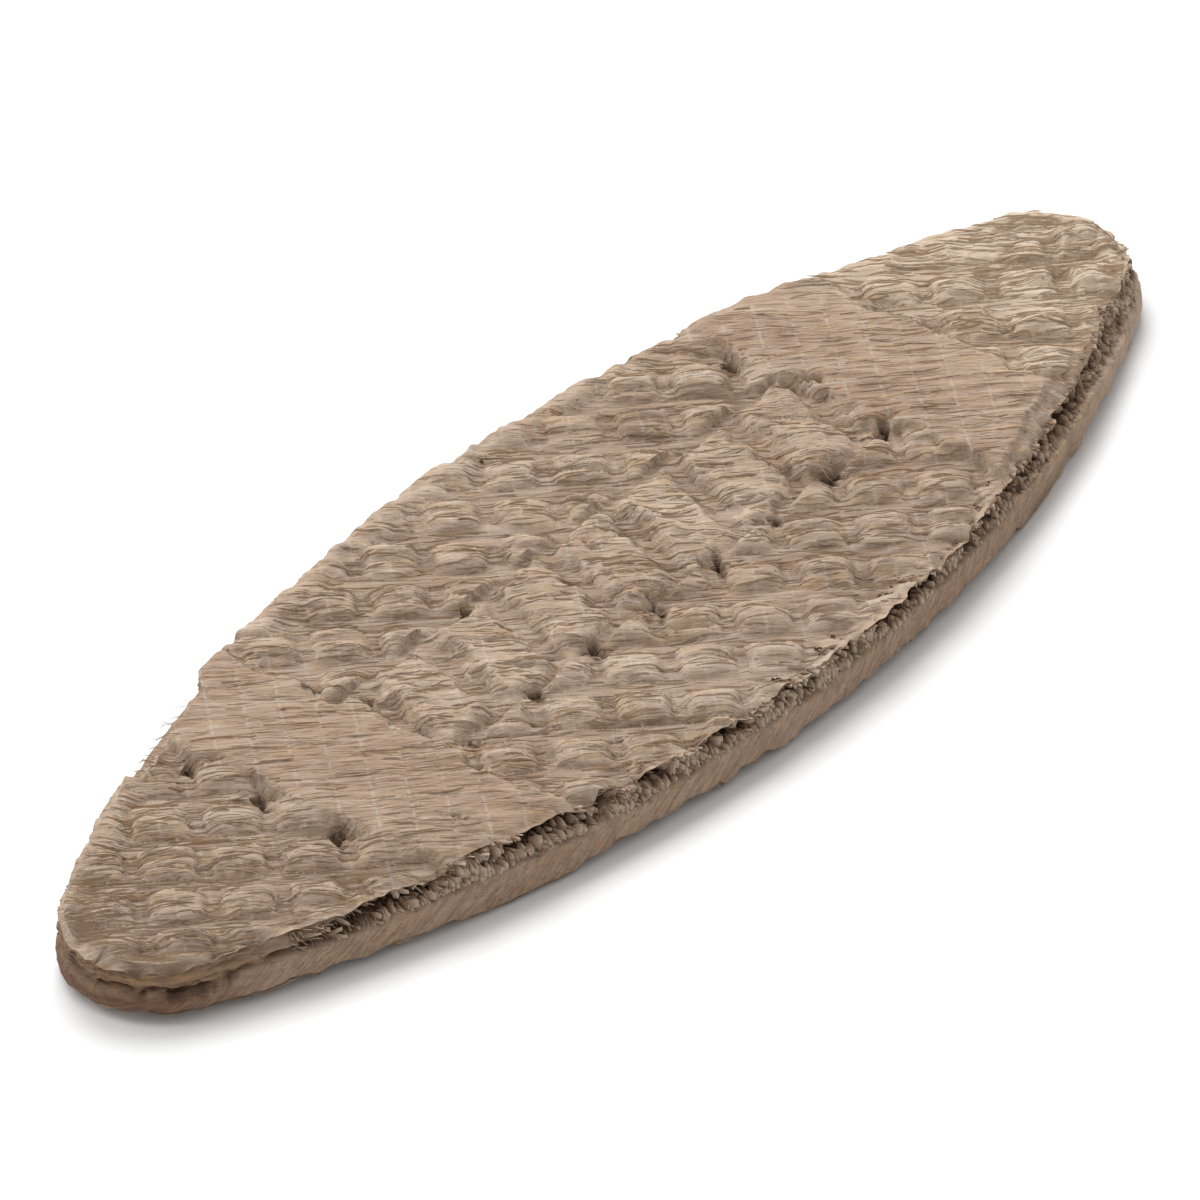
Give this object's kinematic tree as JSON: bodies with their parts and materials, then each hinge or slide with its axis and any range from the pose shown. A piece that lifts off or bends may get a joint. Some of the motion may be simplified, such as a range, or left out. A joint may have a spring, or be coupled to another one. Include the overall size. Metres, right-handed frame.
{
  "type": "jointing biscuit",
  "caption": "Flat lens-shaped wooden biscuit with rounded ends and a pressed waffle on both faces, glued into matching slots to align and hold two boards.",
  "frame": {"origin": "middle of the lower face", "axes": "+X along the length, +Y across the width, +Z through the thickness, out of the face with the sheared edge below it"},
  "size_m": [0.085, 0.03, 0.004],
  "materials": {
    "beech": "raw pressed beech, unfinished"
  },
  "bodies": {
    "root": {"biscuit": "beech"}
  },
  "joints": []
}
